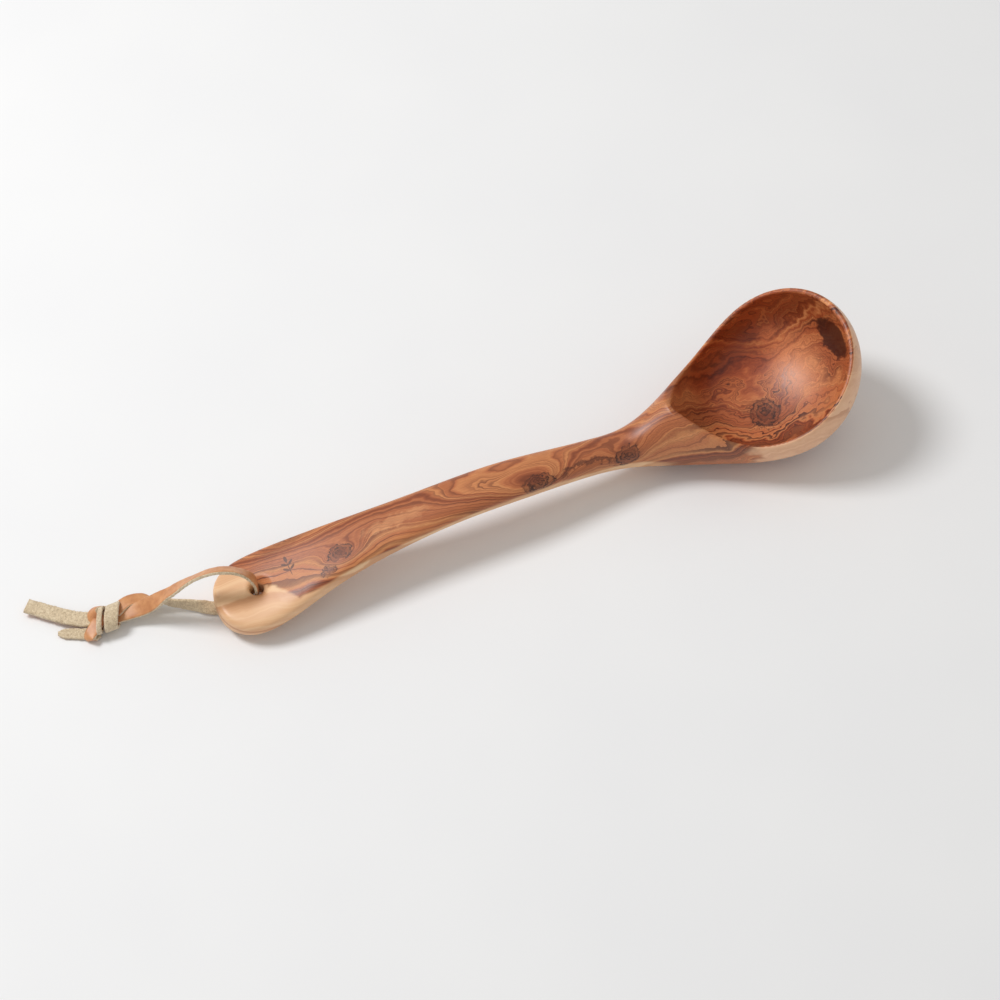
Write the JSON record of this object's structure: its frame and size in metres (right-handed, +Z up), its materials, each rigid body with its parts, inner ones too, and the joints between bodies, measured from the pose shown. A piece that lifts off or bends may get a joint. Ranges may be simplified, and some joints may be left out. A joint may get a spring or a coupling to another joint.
{
  "type": "wooden soup ladle",
  "caption": "Carved wooden soup ladle: deep rounded bowl, arched handle with a flat rounded end, and a knotted leather hanging thong through its hole.",
  "frame": {"origin": "bottom centre of the ladle's bounding box, without the thong: on the table, halfway along", "axes": "+X from the handle end to the bowl's tip, +Z up, and the bowl opens upwards"},
  "size_m": [0.3993, 0.0845, 0.0607],
  "materials": {
    "olive_wood": "oiled satin",
    "leather": "smooth tan grain on one side, pale suede on the other"
  },
  "bodies": {
    "ladle": {"ladle": "olive_wood"},
    "thong": {"thong_upper_strand": "leather", "thong_lower_strand": "leather", "thong_knot": "leather", "thong_long_tail": "leather", "thong_short_tail": "leather"}
  },
  "joints": [
    {"name": "thong_swing", "type": "hinge", "parent": "ladle", "child": "thong", "pos_m": [-0.1405, 0, 0.0103], "axis": [0, 0, 1], "range_deg": [-60, 60]}
  ]
}
